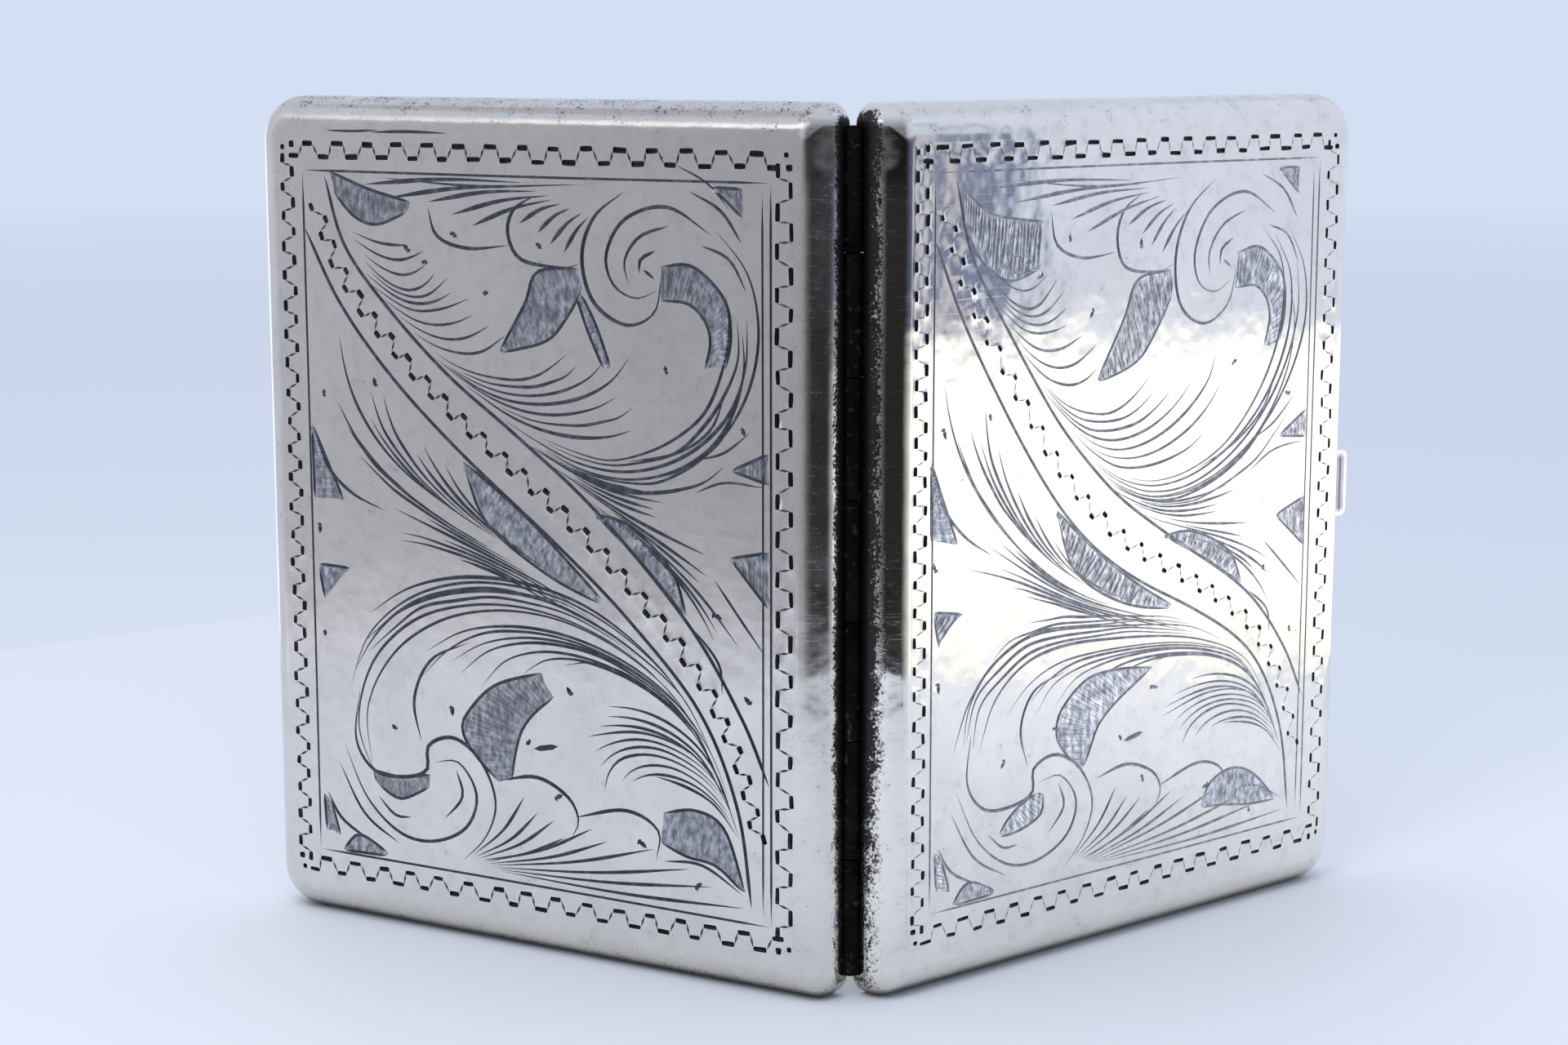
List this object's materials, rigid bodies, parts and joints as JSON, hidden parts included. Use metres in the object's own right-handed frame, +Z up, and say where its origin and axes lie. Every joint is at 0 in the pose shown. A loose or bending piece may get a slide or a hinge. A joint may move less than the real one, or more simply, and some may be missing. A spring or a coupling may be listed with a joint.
{
  "type": "business card case",
  "caption": "Engraved silver case for business cards: two bullnosed trays on a spine hinge, with a sprung thumb catch and a sprung retainer bow in each tray.",
  "frame": {"origin": "middle of the footprint of the part-open case, on the surface it stands on", "axes": "+Z up along the spine; -Y out of the rear leaf's engraved face; +X along the rear leaf towards the spine"},
  "size_m": [0.1044, 0.077, 0.095],
  "materials": {
    "engraved_silver": "polished sterling silver, hand engraved, with wear scratches and dark tarnish in the cuts",
    "plain_silver": "plain polished silver with soft wear",
    "tarnished_silver": "silver dulled by dark tarnish",
    "gilt_silver": "silver with a thin worn gilt wash",
    "steel": "drawn spring steel, lightly polished"
  },
  "bodies": {
    "rear_leaf": {"rear_shell": "engraved_silver", "rear_rim_wire": "plain_silver", "rear_hinge_bearer": "tarnished_silver", "rear_knuckle_1": "tarnished_silver", "rear_knuckle_2": "tarnished_silver", "rear_knuckle_3": "tarnished_silver", "rear_knuckle_4": "tarnished_silver", "hinge_pin": "steel", "catch_keeper": "plain_silver", "rear_retainer_lug_lower": "gilt_silver", "rear_retainer_lug_upper": "gilt_silver", "rear_retainer_rod": "steel"},
    "rear_retainer": {"rear_retainer_bow": "gilt_silver", "rear_retainer_spring_lower": "steel", "rear_retainer_spring_upper": "steel"},
    "front_leaf": {"front_shell": "engraved_silver", "front_rim_wire": "plain_silver", "front_hinge_bearer": "tarnished_silver", "front_knuckle_1": "tarnished_silver", "front_knuckle_2": "tarnished_silver", "front_knuckle_3": "tarnished_silver", "catch_spring": "steel", "spring_rivet_1": "plain_silver", "spring_rivet_2": "plain_silver", "front_retainer_lug_lower": "gilt_silver", "front_retainer_lug_upper": "gilt_silver", "front_retainer_rod": "steel"},
    "front_retainer": {"front_retainer_bow": "gilt_silver", "front_retainer_spring_lower": "steel", "front_retainer_spring_upper": "steel"},
    "catch": {"thumb_button": "plain_silver", "catch_nose": "steel"}
  },
  "joints": [
    {"name": "leaf_hinge", "type": "hinge", "parent": "rear_leaf", "child": "front_leaf", "pos_m": [0.02281, -0.03355, 0.0475], "axis": [0, 0, -1], "range_deg": [-110, 70]},
    {"name": "catch_press", "type": "slide", "parent": "front_leaf", "child": "catch", "axis": [-0.342, -0.9397, 0], "range_m": [0, 0.0009], "stiffness_N_per_m": 1500, "deforming": ["catch_spring"]},
    {"name": "rear_retainer_lift", "type": "hinge", "parent": "rear_leaf", "child": "rear_retainer", "pos_m": [0.01481, -0.0365, 0.0475], "axis": [0, 0, -1], "range_deg": [0, 3.4], "stiffness_Nm_per_rad": 0.2},
    {"name": "front_retainer_lift", "type": "hinge", "parent": "front_leaf", "child": "front_retainer", "pos_m": [0.02832, -0.02704, 0.0475], "axis": [0, 0, 1], "range_deg": [0, 3.4], "stiffness_Nm_per_rad": 0.2}
  ]
}
